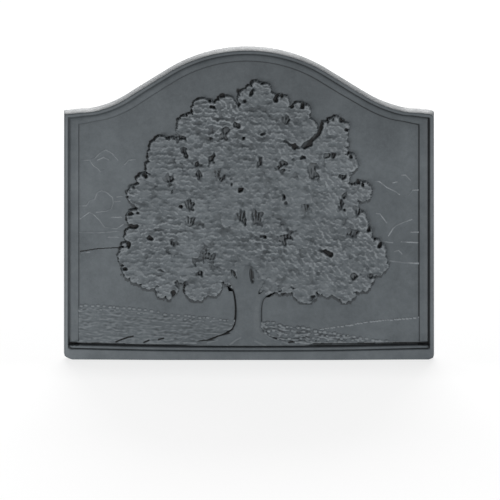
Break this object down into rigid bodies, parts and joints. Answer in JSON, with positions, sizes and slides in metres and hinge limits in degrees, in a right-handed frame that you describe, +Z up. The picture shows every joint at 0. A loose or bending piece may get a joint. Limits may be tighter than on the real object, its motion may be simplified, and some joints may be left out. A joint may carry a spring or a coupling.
{
  "type": "fireback",
  "caption": "Arched cast iron fireback with a moulded frame and a spreading oak in relief, standing on its lower edge and on steel rear legs bolted to its back.",
  "frame": {"origin": "middle of the plate's lower edge face, half-way through the plate's thickness; the plate stands on this face", "axes": "+X to the right seen from the front, the relief faces -Y, +Z up"},
  "size_m": [0.61, 0.146, 0.53],
  "materials": {
    "cast_iron": "dark slate-grey as-cast iron, lightly mottled, satin",
    "black_steel": "matt black heat-resistant paint on flat bar",
    "bolt_steel": "dull zinc plate",
    "washer_steel": "bright zinc plate, slightly dulled"
  },
  "bodies": {
    "root": {"fireback_plate": "cast_iron", "oak_crown": "cast_iron", "oak_trunk": "cast_iron", "left_field": "cast_iron", "right_slope": "cast_iron", "left_leg_bar": "black_steel", "right_leg_bar": "black_steel", "left_leg_gusset": "black_steel", "right_leg_gusset": "black_steel", "left_upper_bolt": "bolt_steel", "left_lower_bolt": "bolt_steel", "right_upper_bolt": "bolt_steel", "right_lower_bolt": "bolt_steel", "left_upper_spring_washer": "washer_steel", "left_lower_spring_washer": "washer_steel", "right_upper_spring_washer": "washer_steel", "right_lower_spring_washer": "washer_steel", "left_upper_flat_washer": "washer_steel", "left_lower_flat_washer": "washer_steel", "right_upper_flat_washer": "washer_steel", "right_lower_flat_washer": "washer_steel"}
  },
  "joints": []
}
